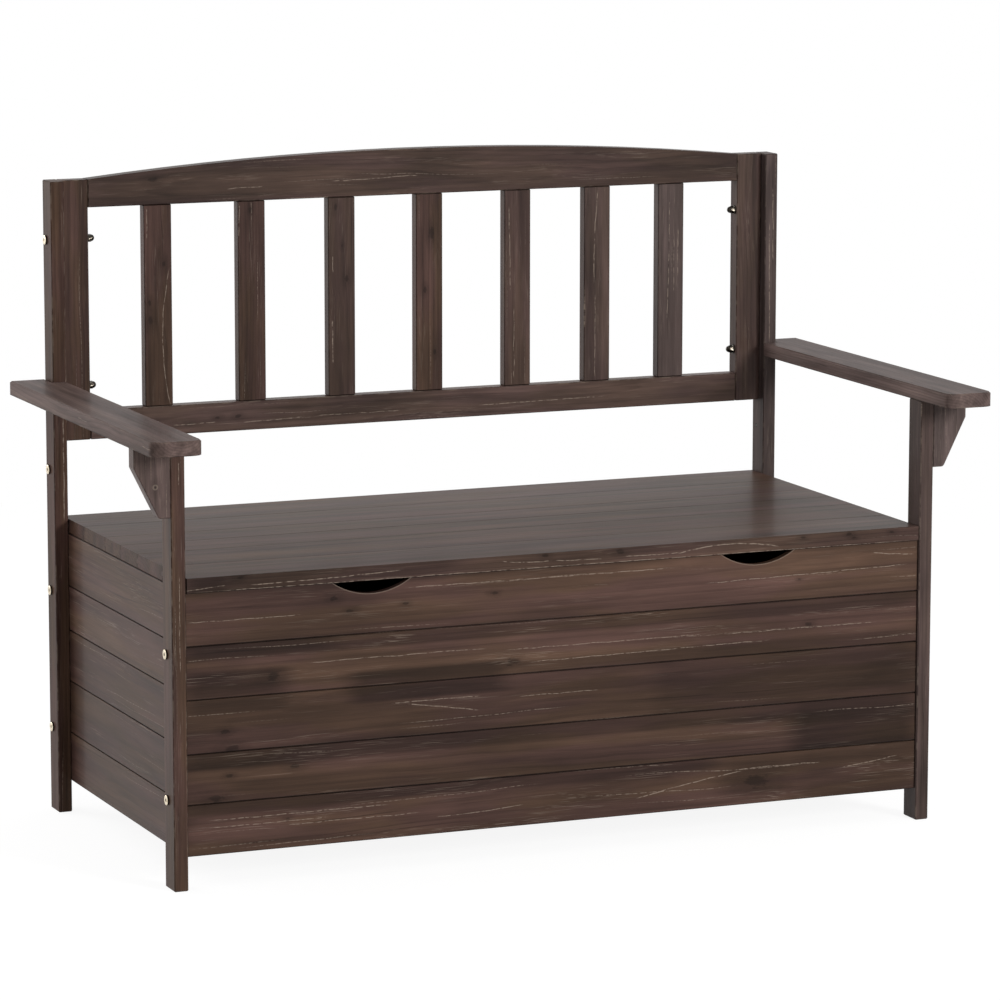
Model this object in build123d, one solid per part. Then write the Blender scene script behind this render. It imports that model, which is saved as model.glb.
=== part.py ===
"""Garden storage bench in stained softwood: a boarded box, a hinged seat lid, armrests and a slatted back.

Millimetres. X runs along the seat, Y from front to back and Z up. The origin lies on the floor,
under the middle of the bench's bounding box. Each named piece is written to parts/NAME.step.
"""

import os

from build123d import *

# Box: clear width between the posts, and the boards that its walls are built up from
box_width = 990.0
foot_clearance = 41.5
front_board_heights = (64.0, 62.5, 67.0, 66.0, 65.5)
side_board_heights = (64.0, 68.0, 67.0, 58.0)
wall_board_thickness = 10.0
wall_joint_gap = 1.4
wall_recess = 4.0
board_end_gap = 0.4

# Tongue and groove of the wall boards, and the break on every show edge
tongue_length = 4.5
tongue_thickness = 3.4
tongue_play = 0.2
edge_break = 0.3

# Lid: boards from the front edge to the hinged rear edge
lid_board_widths = (92.0, 94.0, 67.0, 62.0, 88.0, 90.0)
lid_thickness = 18.0
lid_joint_gap = 0.7
lid_tongue_length = 6.0
lid_tongue_thickness = 6.0
lid_edge_break = 0.8
lid_side_gap = 1.5
lid_rest_gap = 0.5
lid_batten_width = 40.0
lid_batten_thickness = 18.0
lid_batten_offset = 400.0
lid_batten_front_inset = 30.0
lid_batten_rear_inset = 35.0

# Finger scoops in the top edge of the front wall
scoop_centres = (-254.0, 268.0)
scoop_width = 103.0
scoop_depth = 16.5

# Posts
post_thickness = 18.0
post_depth = 34.0
post_edge = 1.2
lid_rear_inset = 3.0

# Armrests and their brackets
arm_width = 65.0
arm_thickness = 18.0
arm_front_overhang = 74.0
arm_clearance = 161.0
arm_corner_radius = 15.0
arm_edge = 2.0
notch_play = 0.3
bracket_thickness = 18.0
bracket_height = 86.0
bracket_outer_height = 23.5
bracket_foot_width = 15.0
bracket_inset = 1.0
bracket_foot_radius = 5.0
bracket_edge = 1.2

# Backrest
back_clearance = 100.0
back_thickness = 21.0
back_bottom_rail_height = 38.0
back_opening_height = 262.0
back_top_rail_height = 36.0
back_arch_rise = 24.0
stile_width = 36.0
slat_width = 37.5
slat_thickness = 16.0
slat_shifts = (-6.4, 2.3, 7.8, 12.0, 18.7, 14.8, 3.7)
tenon_width = 25.0
tenon_thickness = 9.0
tenon_length = 12.0
tenon_play = 0.2
back_edge = 1.2

# Hidden framing
batten_width = 34.0
batten_thickness = 18.0
batten_lid_clearance = 6.0
hinge_rail_height = 34.0
ledger_size = 18.0
ledger_lift = 8.5
floor_board_count = 7
floor_board_thickness = 10.0
floor_board_gap = 3.0

# Bolts, cap nuts and dowels, which are drawn with flat sides because they repeat
bolt_sides = 10
dowel_sides = 6
screw_sides = 6
bolt_radius = 3.0
bolt_play = 0.2
bolt_head_radius = 6.2
bolt_head_height = 2.6
bolt_head_edge = 0.7
socket_radius = 2.3
socket_depth = 1.8
wall_bolt_heights = (110.0, 290.0)
spare_bolt_height = 448.0
back_bolt_drop = 76.0
hanger_bolt_grip = 30.0
nut_flange_radius = 6.0
nut_flange_thickness = 1.6
nut_radius = 5.2
nut_hex_height = 4.5
nut_dome_height = 4.4
nut_dome_steps = ((0.6, 0.75), (1.0, 0.25))
nut_grip = 6.0
dowel_radius = 4.0
dowel_play = 0.1
dowel_grip = 20.0
arm_dowel_grip = 12.0
bracket_dowel_grip = 10.0
dowel_spacing = 16.0

# Hinges
hinge_offset = 330.0
hinge_length = 60.0
hinge_leaf_height = 16.0
hinge_leaf_thickness = 1.5
hinge_knuckles = 3
hinge_knuckle_gap = 0.3
hinge_knuckle_sides = 12
hinge_pin_sides = 16
hinge_pin_radius = 1.5
hinge_pin_play = 0.05
hinge_knuckle_wall = 1.2
hinge_stand_off = 0.35
hinge_swing_gap = 0.5
hinge_screw_drop = 10.0
hinge_screw_spacing = 20.0

# Wood screws
screw_radius = 1.8
screw_play = 0.1
screw_head_radius = 3.4
screw_head_height = 1.5
hinge_screw_length = 14.0
wall_screw_bite = 7.0
lid_screw_bite = 11.0

# Levels worked out from the sizes above
wall_height = sum(front_board_heights)
wall_top = foot_clearance + wall_height
lid_bottom = wall_top + lid_rest_gap
seat_height = lid_bottom + lid_thickness
arm_bottom = seat_height + arm_clearance
arm_top = arm_bottom + arm_thickness
back_bottom = seat_height + back_clearance
back_opening_bottom = back_bottom + back_bottom_rail_height
back_opening_top = back_opening_bottom + back_opening_height
back_top = back_opening_top + back_top_rail_height
ledger_bottom = foot_clearance + ledger_lift
floor_bottom = ledger_bottom + ledger_size
floor_top = floor_bottom + floor_board_thickness

# Depths, front to back, with the bounding box centred on Y = 0
lid_depth = sum(lid_board_widths)
frame_depth = lid_depth + lid_rear_inset
knuckle_radius = hinge_pin_radius + hinge_pin_play + hinge_knuckle_wall
hinge_axis_offset = knuckle_radius + hinge_stand_off
hinge_proud = max(0.0, hinge_axis_offset + knuckle_radius - lid_rear_inset)
front_y = (arm_front_overhang - frame_depth - hinge_proud) / 2
rear_y = front_y + frame_depth
lid_rear_y = rear_y - lid_rear_inset
wall_front_y = front_y + wall_recess
wall_back_y = wall_front_y + wall_board_thickness
rear_post_front_y = rear_y - post_depth
back_front_y = rear_y - back_thickness
rear_batten_front_y = lid_rear_y - batten_thickness
back_wall_front_y = rear_batten_front_y - wall_board_thickness
front_bolt_y = wall_back_y + batten_thickness / 2
rear_bolt_y = rear_batten_front_y + batten_thickness / 2
hinge_y = lid_rear_y + hinge_axis_offset
hinge_z = wall_top + lid_rest_gap / 2

# Widths, on the right-hand side; the left side mirrors them
post_inner_x = box_width / 2
post_outer_x = post_inner_x + post_thickness
arm_outer_x = post_inner_x + arm_width
wall_inner_x = post_inner_x - wall_board_thickness
batten_inner_x = wall_inner_x - batten_width
stile_inner_x = post_inner_x - stile_width
lid_half_length = post_inner_x - lid_side_gap

os.makedirs("parts", exist_ok=True)


def save(name, *shapes):
    """Writes one named piece, or a set of identical loose pieces, to its STEP file."""
    solids = [solid for shape in shapes for solid in shape.solids()]
    export_step(solids[0] if len(solids) == 1 else Compound(solids), f"parts/{name}.step")


def block(x, y, z, ease=0.0):
    """A board between the pairs of X, Y and Z limits, with all its edges broken by ease."""
    size = [limit[1] - limit[0] for limit in (x, y, z)]
    middle = [(limit[0] + limit[1]) / 2 for limit in (x, y, z)]
    board = Pos(*middle) * Box(*size)
    return chamfer(board.edges(), ease) if ease else board


def rod(start, direction, length, radius):
    """A round bar from start along direction."""
    return Solid.make_cylinder(radius, length, Plane(origin=start, z_dir=direction))


def prism(start, direction, length, radius, sides, on_corners=True):
    """A bar with flat sides from start along direction, whose corners or else flats lie at radius."""
    plane = Plane(origin=start, z_dir=direction)
    return extrude(plane * RegularPolygon(radius, sides, major_radius=on_corners), length)


def turned(start, direction, steps, sides):
    """A bar with flat sides that passes through each step's distance along it and radius."""
    plane = Plane(origin=start, z_dir=direction)
    sections = [plane * Pos(0, 0, away) * RegularPolygon(radius, sides) for away, radius in steps]
    return loft(sections, ruled=True)


def mirrored(shape):
    """The same piece on the other side of the bench."""
    return mirror(shape, about=Plane.YZ)


def save_pair(name, right):
    """Writes a right-hand piece and its left-hand mirror image."""
    save(f"{name}_right", right)
    save(f"{name}_left", mirrored(right))


def screw(head, direction, length):
    """A countersunk wood screw whose head lies flush at the point head."""
    steps = [
        (0, screw_head_radius),
        (screw_head_height, screw_radius),
        (length, screw_radius),
    ]
    return turned(head, direction, steps, screw_sides)


def screw_hole(head, direction, length):
    """The countersunk hole for a screw, with play all round and at the tip."""
    steps = [
        (0, screw_head_radius + screw_play),
        (screw_head_height, screw_radius + screw_play),
        (length + screw_play, screw_radius + screw_play),
    ]
    return turned(head, direction, steps, screw_sides)


def jointed_board(width, thickness, length, gap, tongue, groove, size, first_edge):
    """A board in its own frame: width along X, thickness down Y from the show face, length along Z.

    tongue and groove say whether the far and the near edge carry one. size is the tongue's length
    and thickness, and first_edge is the break on the near show edge.
    """
    reach, depth = size
    top = width - gap if tongue else width
    middle = thickness / 2
    low, high = middle - depth / 2, middle + depth / 2
    outline = [(first_edge, 0), (top - edge_break, 0), (top, edge_break)]
    if tongue:
        outline += [(top, low), (top + reach, low), (top + reach, high), (top, high)]
    outline += [(top, thickness), (0, thickness)]
    if groove:
        bottom = reach - gap + tongue_play
        outline += [(0, high + tongue_play), (bottom, high + tongue_play)]
        outline += [(bottom, low - tongue_play), (0, low - tongue_play)]
    outline += [(0, first_edge)]
    return extrude(make_face(Polyline(*outline, close=True)), length)


def wall(heights, origin, run, outward, length):
    """The boards of one wall, from the bottom up, as a list of solids.

    origin is the lower corner that the boards run from, run their direction and outward the way
    that their show faces look.
    """
    boards = []
    level = foot_clearance
    for index, height in enumerate(heights):
        tongue = index < len(heights) - 1
        board = jointed_board(
            height, wall_board_thickness, length, wall_joint_gap, tongue, index > 0,
            (tongue_length, tongue_thickness), edge_break,
        )
        place = Plane(origin=(origin[0], origin[1], level), x_dir=(0, 0, 1), z_dir=run)
        assert place.y_dir.dot(Vector(*outward)) < 0
        boards.append(place * board)
        level += height
    return boards


# Bolt lines: each is a height, a depth and the X where the nut seats
bolt_lines = [(z, front_bolt_y, batten_inner_x) for z in wall_bolt_heights]
bolt_lines += [(z, rear_bolt_y, batten_inner_x) for z in wall_bolt_heights]
back_bolt_z = back_top - back_bolt_drop
bolt_lines += [(back_bolt_z, rear_bolt_y, stile_inner_x)]
hanger_bolt_z = (arm_bottom + arm_top) / 2
hanger_outer_x = post_outer_x + hanger_bolt_grip


def bolt_hole(z, y, inner_x, outer_x):
    """The hole for a bolt that runs along X on the right-hand side."""
    return prism((inner_x, y, z), (1, 0, 0), outer_x - inner_x, bolt_radius + bolt_play, bolt_sides)


all_bolt_holes = [bolt_hole(z, y, x, post_outer_x) for z, y, x in bolt_lines]
spare_hole = bolt_hole(spare_bolt_height, rear_bolt_y, post_inner_x, post_outer_x)
hanger_hole = bolt_hole(hanger_bolt_z, rear_bolt_y, stile_inner_x, hanger_outer_x)

# Dowels: each is a start point, a direction and a length, on the right-hand side
post_middle_x = (post_inner_x + post_outer_x) / 2
front_post_middle_y = front_y + post_depth / 2
back_middle_y = (back_front_y + rear_y) / 2
bracket_middle_y = front_y + bracket_thickness / 2
bracket_bottom = arm_bottom - bracket_height
dowels = []
for side in (-1, 1):
    y = front_post_middle_y + side * dowel_spacing / 2
    dowels.append(((post_middle_x, y, arm_bottom - dowel_grip), (0, 0, 1), dowel_grip + arm_dowel_grip))
    z = arm_bottom - bracket_height / 2 + side * dowel_spacing
    start = (post_outer_x - bracket_dowel_grip, bracket_middle_y, z)
    dowels.append((start, (1, 0, 0), bracket_dowel_grip + bracket_foot_width))
    for rail_bottom, rail_height in (
        (back_bottom, back_bottom_rail_height),
        (back_opening_top, back_top_rail_height),
    ):
        z = rail_bottom + rail_height / 2 + side * dowel_spacing / 2
        dowels.append(((stile_inner_x - dowel_grip, back_middle_y, z), (1, 0, 0), 2 * dowel_grip))
dowel_solids = [prism(*line, dowel_radius, dowel_sides) for line in dowels]
dowel_holes = [prism(*line, dowel_radius + dowel_play, dowel_sides) for line in dowels]

# Posts
front_post = block(
    (post_inner_x, post_outer_x), (front_y, front_y + post_depth), (0, arm_bottom), post_edge
)
save_pair("front_post", front_post - all_bolt_holes - dowel_holes)
rear_post = block(
    (post_inner_x, post_outer_x), (rear_post_front_y, rear_y), (0, back_top), post_edge
)
save_pair("rear_post", rear_post - all_bolt_holes - [spare_hole, hanger_hole])

# Armrests: a flat board, notched round the rear post, with its front corners rounded
notch_x = post_outer_x + notch_play
notch_y = rear_post_front_y - notch_play
arm_front_y = front_y - arm_front_overhang
arm_outline = make_face(
    Polyline(
        (post_inner_x, arm_front_y),
        (arm_outer_x, arm_front_y),
        (arm_outer_x, rear_y),
        (notch_x, rear_y),
        (notch_x, notch_y),
        (post_inner_x, notch_y),
        close=True,
    )
)
front_corners = arm_outline.vertices().group_by(Axis.Y)[0]
arm_outline = fillet(front_corners, arm_corner_radius)
arm = extrude(Pos(0, 0, arm_bottom) * arm_outline, arm_thickness)
arm = chamfer(arm.faces().sort_by(Axis.Z)[-1].edges(), arm_edge)
save_pair("armrest", arm - [hanger_hole] - dowel_holes)

# Brackets under the armrests
bracket_outer_x = arm_outer_x - bracket_inset
bracket_outline = make_face(
    Polyline(
        (post_outer_x, bracket_bottom),
        (post_outer_x + bracket_foot_width, bracket_bottom),
        (bracket_outer_x, arm_bottom - bracket_outer_height),
        (bracket_outer_x, arm_bottom),
        (post_outer_x, arm_bottom),
        close=True,
    )
)
foot_corner = bracket_outline.vertices().group_by(Axis.Y)[0].sort_by(Axis.X)[-1]
bracket_outline = fillet([foot_corner], bracket_foot_radius)
bracket_plane = Plane(origin=(0, front_y, 0), x_dir=(1, 0, 0), z_dir=(0, -1, 0))
bracket = extrude(bracket_plane * bracket_outline, -bracket_thickness)
bracket = chamfer(bracket.faces().sort_by(Axis.Y)[0].edges(), bracket_edge)
save_pair("arm_bracket", bracket - dowel_holes)

# Backrest stiles
stile = block((stile_inner_x, post_inner_x), (back_front_y, rear_y), (back_bottom, back_top), back_edge)
save_pair("backrest_stile", stile - all_bolt_holes - [hanger_hole] - dowel_holes)

# Backrest slats, evenly spaced but for each slat's own shift, tenoned into both rails
slat_count = len(slat_shifts)
slat_pitch = (2 * stile_inner_x + slat_width) / (slat_count + 1)
slat_start = -stile_inner_x - slat_width / 2
slat_middles = [slat_start + slat_pitch * (i + 1) + shift for i, shift in enumerate(slat_shifts)]
slat_y = (back_middle_y - slat_thickness / 2, back_middle_y + slat_thickness / 2)
tenon_y = (back_middle_y - tenon_thickness / 2, back_middle_y + tenon_thickness / 2)
mortise_y = (tenon_y[0] - tenon_play, tenon_y[1] + tenon_play)
tenon_z = (back_opening_bottom - tenon_length, back_opening_top + tenon_length)
mortise_z = (tenon_z[0] - tenon_play, tenon_z[1] + tenon_play)
mortises = []
for number, middle in enumerate(slat_middles, start=1):
    slat = block(
        (middle - slat_width / 2, middle + slat_width / 2), slat_y,
        (back_opening_bottom, back_opening_top), back_edge,
    )
    tenon_x = (middle - tenon_width / 2, middle + tenon_width / 2)
    save(f"backrest_slat_{number}", slat + block(tenon_x, tenon_y, tenon_z))
    mortise_x = (tenon_x[0] - tenon_play, tenon_x[1] + tenon_play)
    mortises.append(block(mortise_x, mortise_y, mortise_z))

# Backrest rails between the stiles: a straight one below and an arched one above
both_dowel_holes = dowel_holes + [mirrored(hole) for hole in dowel_holes]
bottom_rail = block(
    (-stile_inner_x, stile_inner_x), (back_front_y, rear_y), (back_bottom, back_opening_bottom), back_edge
)
save("backrest_bottom_rail", bottom_rail - mortises - both_dowel_holes)
arch = make_face(
    [
        Polyline(
            (-stile_inner_x, back_top),
            (-stile_inner_x, back_opening_top),
            (stile_inner_x, back_opening_top),
            (stile_inner_x, back_top),
        ),
        ThreePointArc(
            (stile_inner_x, back_top), (0, back_top + back_arch_rise), (-stile_inner_x, back_top)
        ),
    ]
)
arch_plane = Plane(origin=(0, back_front_y, 0), x_dir=(1, 0, 0), z_dir=(0, -1, 0))
top_rail = extrude(arch_plane * arch, -back_thickness)
top_rail = chamfer(top_rail.faces().sort_by(Axis.Y)[0].edges(), back_edge)
save("backrest_top_rail", top_rail - mortises - both_dowel_holes)

# Screws that hold every other board of the front and back walls to the corner battens
batten_middle_x = (batten_inner_x + wall_inner_x) / 2
front_screw_y = wall_back_y + batten_thickness
wall_screw_length = batten_thickness + wall_screw_bite
board_floors = [foot_clearance + sum(front_board_heights[:i]) for i in range(len(front_board_heights))]
front_screws, rear_screws = [], []
for floor_z, height in list(zip(board_floors, front_board_heights))[::2]:
    middle_z = floor_z + height / 2
    front_z = max(middle_z, (floor_top + floor_z + height) / 2)
    front_screws.append(((batten_middle_x, front_screw_y, front_z), (0, -1, 0), wall_screw_length))
    rear_screws.append(((batten_middle_x, lid_rear_y, middle_z), (0, -1, 0), wall_screw_length))
wall_screws = front_screws + rear_screws
wall_screw_solids = [screw(*line) for line in wall_screws]
wall_screw_holes = [screw_hole(*line) for line in wall_screws]
both_wall_holes = wall_screw_holes + [mirrored(hole) for hole in wall_screw_holes]

# Front wall, whose top board has two finger scoops
scoop_radius = (scoop_width**2 / 4 + scoop_depth**2) / (2 * scoop_depth)
scoop_cuts = [
    rod((x, front_y, wall_top - scoop_depth + scoop_radius), (0, 1, 0), post_depth, scoop_radius)
    for x in scoop_centres
]
front_length = box_width - 2 * board_end_gap
front_origin = (front_length / 2, wall_front_y)
front_boards = wall(front_board_heights, front_origin, (-1, 0, 0), (0, -1, 0), front_length)
front_boards[-1] = front_boards[-1] - scoop_cuts
for number, board in enumerate(front_boards, start=1):
    save(f"front_board_{number}", board - both_wall_holes)

# Side walls, between the front wall and the lid's rear edge
side_heights = (*side_board_heights, wall_height - sum(side_board_heights))
side_origin = (post_inner_x, lid_rear_y)
side_length = lid_rear_y - wall_back_y
side_boards = wall(side_heights, side_origin, (0, -1, 0), (1, 0, 0), side_length)
for number, board in enumerate(side_boards, start=1):
    drilled = board - all_bolt_holes
    save(f"right_side_board_{number}", drilled)
    save(f"left_side_board_{number}", mirrored(drilled))

# Back wall, in front of the rear battens
back_origin = (-wall_inner_x, rear_batten_front_y)
back_boards = wall(front_board_heights, back_origin, (1, 0, 0), (0, 1, 0), 2 * wall_inner_x)
for number, board in enumerate(back_boards, start=1):
    save(f"back_board_{number}", board - both_wall_holes)

# Corner battens that the posts are bolted to, and the rail that the hinges are screwed to
batten_x = (batten_inner_x, wall_inner_x)
front_batten = block(
    batten_x, (wall_back_y, wall_back_y + batten_thickness), (floor_top, wall_top - batten_lid_clearance)
)
front_batten = front_batten - all_bolt_holes - wall_screw_holes
save("front_corner_battens", front_batten, mirrored(front_batten))
rear_batten = block(batten_x, (rear_batten_front_y, lid_rear_y), (foot_clearance, wall_top))
rear_batten = rear_batten - all_bolt_holes - wall_screw_holes
save("rear_corner_battens", rear_batten, mirrored(rear_batten))

# Floor of the box, on a ledger along each side and one bearer in the middle
ledger_y = (wall_back_y, back_wall_front_y)
ledger_z = (ledger_bottom, floor_bottom)
side_ledger = block((wall_inner_x - ledger_size, wall_inner_x), ledger_y, ledger_z)
bearer = block((-ledger_size / 2, ledger_size / 2), ledger_y, ledger_z)
save("floor_ledgers", side_ledger, mirrored(side_ledger), bearer)
floor_pitch = (ledger_y[1] - ledger_y[0] + floor_board_gap) / floor_board_count
floor_boards = []
for index in range(floor_board_count):
    start_y = ledger_y[0] + index * floor_pitch
    floor_y = (start_y, start_y + floor_pitch - floor_board_gap)
    floor_boards.append(block((-wall_inner_x, wall_inner_x), floor_y, (floor_bottom, floor_top)))
save("floor_boards", *floor_boards)

# Hinges: two leaves whose knuckles take turns along one pin
leaf_back_y = lid_rear_y + hinge_leaf_thickness
knuckle_length = hinge_length / hinge_knuckles


def hinge_leaf(middle_x, up):
    """One leaf with its knuckles: the lid's leaf goes up from the pin, the fixed one down."""
    way = 1 if up else -1
    leaf_y = (lid_rear_y, leaf_back_y)
    far_z = hinge_z + way * hinge_leaf_height
    near_z = hinge_z + way * (knuckle_radius + hinge_swing_gap)
    ends_x = (middle_x - hinge_length / 2, middle_x + hinge_length / 2)
    leaf = block(ends_x, leaf_y, sorted((near_z, far_z)))
    for index in range(1 if up else 0, hinge_knuckles, 2):
        start_x = ends_x[0] + index * knuckle_length + hinge_knuckle_gap / 2
        length = knuckle_length - hinge_knuckle_gap
        leaf += block((start_x, start_x + length), leaf_y, sorted((hinge_z, near_z)))
        leaf += prism((start_x, hinge_y, hinge_z), (1, 0, 0), length, knuckle_radius, hinge_knuckle_sides)
    bore_start = (ends_x[0], hinge_y, hinge_z)
    bore_radius = hinge_pin_radius + hinge_pin_play
    return leaf - prism(bore_start, (1, 0, 0), hinge_length, bore_radius, hinge_pin_sides, on_corners=False)


def leaf_screws(middle_x, up):
    """The screw lines of one leaf, driven forwards from the leaf's rear face."""
    z = hinge_z + (1 if up else -1) * hinge_screw_drop
    places = (middle_x - hinge_screw_spacing, middle_x, middle_x + hinge_screw_spacing)
    return [((x, leaf_back_y, z), (0, -1, 0), hinge_screw_length) for x in places]


hinge_middles = (-hinge_offset, hinge_offset)
fixed_lines = [line for x in hinge_middles for line in leaf_screws(x, False)]
lid_lines = [line for x in hinge_middles for line in leaf_screws(x, True)]
fixed_holes = [screw_hole(*line) for line in fixed_lines]
lid_leaf_holes = [screw_hole(*line) for line in lid_lines]
save("hinge_fixed_leaves", *[hinge_leaf(x, False) - fixed_holes for x in hinge_middles])
save("hinge_lid_leaves", *[hinge_leaf(x, True) - lid_leaf_holes for x in hinge_middles])
pin_starts = [(x - hinge_length / 2, hinge_y, hinge_z) for x in hinge_middles]
pins = [prism(start, (1, 0, 0), hinge_length, hinge_pin_radius, hinge_pin_sides) for start in pin_starts]
save("hinge_pins", *pins)
hinge_screw_solids = [screw(*line) for line in fixed_lines]
both_wall_screws = wall_screw_solids + [mirrored(solid) for solid in wall_screw_solids]
save("frame_screws", *hinge_screw_solids, *both_wall_screws)
hinge_rail_z = (wall_top - hinge_rail_height, wall_top)
hinge_rail = block((-batten_inner_x, batten_inner_x), (rear_batten_front_y, lid_rear_y), hinge_rail_z)
save("hinge_rail", hinge_rail - fixed_holes)

# Lid: boards across the seat, held together by two battens underneath
lid_length = 2 * lid_half_length
lid_starts = [front_y + sum(lid_board_widths[:i]) for i in range(len(lid_board_widths))]
batten_y = (front_y + lid_batten_front_inset, lid_rear_y - lid_batten_rear_inset)
lid_batten_bottom = lid_bottom - lid_batten_thickness
lid_screw_lines = []
for x in (-lid_batten_offset, lid_batten_offset):
    for start_y, width in zip(lid_starts, lid_board_widths):
        held_y = (max(start_y, batten_y[0]) + min(start_y + width, batten_y[1])) / 2
        length = lid_batten_thickness + lid_screw_bite
        lid_screw_lines.append(((x, held_y, lid_batten_bottom), (0, 0, 1), length))
lid_screw_holes = [screw_hole(*line) for line in lid_screw_lines]
for number, (start_y, width) in enumerate(zip(lid_starts, lid_board_widths), start=1):
    last = number == len(lid_board_widths)
    board = jointed_board(
        width, lid_thickness, lid_length, lid_joint_gap, not last, number > 1,
        (lid_tongue_length, lid_tongue_thickness), edge_break if number > 1 else lid_edge_break,
    )
    place = Plane(origin=(lid_half_length, start_y, seat_height), x_dir=(0, 1, 0), z_dir=(-1, 0, 0))
    save(f"lid_board_{number}", place * board - lid_screw_holes - lid_leaf_holes)
lid_battens = []
for x in (-lid_batten_offset, lid_batten_offset):
    batten_limits = (x - lid_batten_width / 2, x + lid_batten_width / 2)
    lid_batten = block(batten_limits, batten_y, (lid_batten_bottom, lid_bottom))
    lid_battens.append(lid_batten - lid_screw_holes)
save("lid_battens", *lid_battens)
save("lid_screws", *[screw(*line) for line in lid_lines + lid_screw_lines])


def bolt(z, y, inner_x):
    """A flat-headed bolt with a hexagon socket, from the post's outer face in to inner_x."""
    rim = bolt_head_radius - bolt_head_edge
    shoulder = bolt_head_height - bolt_head_edge
    steps = [(0, bolt_head_radius), (shoulder, bolt_head_radius), (bolt_head_height, rim)]
    head = turned((post_outer_x, y, z), (1, 0, 0), steps, bolt_sides)
    socket_start = (post_outer_x + bolt_head_height - socket_depth, y, z)
    socket = prism(socket_start, (1, 0, 0), socket_depth, socket_radius, 6)
    shank = prism((inner_x, y, z), (1, 0, 0), post_outer_x - inner_x, bolt_radius, bolt_sides)
    return head - socket + shank


def cap_nut(z, y, seat_x):
    """A flanged hexagon nut with a closed dome, seated at seat_x and pointing inwards."""
    flange = prism((seat_x, y, z), (-1, 0, 0), nut_flange_thickness, nut_flange_radius, bolt_sides)
    dome_start = nut_flange_thickness + nut_hex_height
    steps = [(0, nut_radius), (dome_start, nut_radius)]
    steps += [(dome_start + nut_dome_height * rise, nut_radius * share) for rise, share in nut_dome_steps]
    body = turned((seat_x, y, z), (-1, 0, 0), steps, 6)
    bore_start = (seat_x - nut_grip - bolt_play, y, z)
    bore = prism(bore_start, (1, 0, 0), nut_grip + bolt_play, bolt_radius + bolt_play / 2, bolt_sides)
    return flange + body - bore


bolts = [bolt(z, y, x - nut_grip) for z, y, x in bolt_lines]
bolts.append(bolt(spare_bolt_height, rear_bolt_y, post_inner_x))
save("frame_bolts", *bolts, *[mirrored(solid) for solid in bolts])
nuts = [cap_nut(z, y, x) for z, y, x in bolt_lines + [(hanger_bolt_z, rear_bolt_y, stile_inner_x)]]
save("cap_nuts", *nuts, *[mirrored(solid) for solid in nuts])
hanger_start = (stile_inner_x - nut_grip, rear_bolt_y, hanger_bolt_z)
hanger_length = hanger_outer_x - stile_inner_x + nut_grip
hanger = prism(hanger_start, (1, 0, 0), hanger_length, bolt_radius, bolt_sides)
save("arm_hanger_bolts", hanger, mirrored(hanger))
save("dowels", *dowel_solids, *[mirrored(solid) for solid in dowel_solids])
print("seat height", seat_height, "overall width", 2 * arm_outer_x, "height", back_top + back_arch_rise)
print("hinge axis at Y", round(hinge_y, 3), "and Z", round(hinge_z, 3))
print("front of the posts at Y", round(front_y, 3), "and rear at Y", round(rear_y, 3))
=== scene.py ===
# %% [markdown]
# # A dark-stained garden storage bench
#
# The CAD model gives every board, bolt and hinge its true size and place. This lesson adds what
# CAD leaves out: stained timber that differs from board to board, worn edges that are partly a painted
# highlight, some painted light and sheen, metal fittings, and a soft studio with the camera where the
# photographer stood.

# %% Load the frame
import math

import bpy
import numpy as np
from mathutils import Matrix, Vector


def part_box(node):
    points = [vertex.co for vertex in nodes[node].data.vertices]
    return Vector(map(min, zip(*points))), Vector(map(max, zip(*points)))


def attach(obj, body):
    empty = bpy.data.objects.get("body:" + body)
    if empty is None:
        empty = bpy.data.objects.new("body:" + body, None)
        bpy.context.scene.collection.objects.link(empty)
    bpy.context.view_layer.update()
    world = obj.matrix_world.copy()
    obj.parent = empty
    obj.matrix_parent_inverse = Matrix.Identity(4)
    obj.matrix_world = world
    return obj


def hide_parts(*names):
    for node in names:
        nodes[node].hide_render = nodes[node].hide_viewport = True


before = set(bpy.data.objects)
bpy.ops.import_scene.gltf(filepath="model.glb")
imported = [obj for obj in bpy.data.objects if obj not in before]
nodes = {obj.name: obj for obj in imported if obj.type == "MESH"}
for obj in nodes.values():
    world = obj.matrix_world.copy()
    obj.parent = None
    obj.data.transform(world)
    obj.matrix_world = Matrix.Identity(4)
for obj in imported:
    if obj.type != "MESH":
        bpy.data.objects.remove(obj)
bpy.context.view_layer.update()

# %% [markdown]
# ## Small helpers for shader graphs
#
# A procedural material is a graph of small steps. The steps could be placed and joined by hand in the
# shader editor. Written as calls, with numbers and sockets as inputs, they read like the formula that
# the graph stands for.

# %% Shader helpers
def fill(tree, socket, value):
    """Sets an input to a number, or links another node's output to it."""
    if isinstance(value, bpy.types.NodeSocket):
        tree.links.new(value, socket)
    elif value is not None:
        socket.default_value = value


def fill_named(tree, node, values):
    """Fills a node's inputs by name."""
    for name, value in values.items():
        fill(tree, node.inputs[name], value)


def step(tree, kind, *inputs, out=0, **settings):
    """Adds one shader node, fills its inputs in order and returns one of its outputs."""
    made = tree.nodes.new(kind)
    for name, value in settings.items():
        setattr(made, name, value)
    for socket, value in zip(made.inputs, inputs):
        fill(tree, socket, value)
    return made.outputs[out]


def calc(tree, operation, *values):
    """One arithmetic step."""
    return step(tree, "ShaderNodeMath", *values, operation=operation)


def vector_calc(tree, operation, *values):
    """One step on vectors."""
    return step(tree, "ShaderNodeVectorMath", *values, operation=operation)


def length(tree, vector):
    """The length of a vector."""
    return step(tree, "ShaderNodeVectorMath", vector, operation="LENGTH", out=1)


def split(tree, vector):
    """The three parts of a vector."""
    made = tree.nodes.new("ShaderNodeSeparateXYZ")
    tree.links.new(vector, made.inputs[0])
    return tuple(made.outputs)


def join(tree, *parts):
    """The vector of three parts."""
    return step(tree, "ShaderNodeCombineXYZ", *parts)


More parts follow.
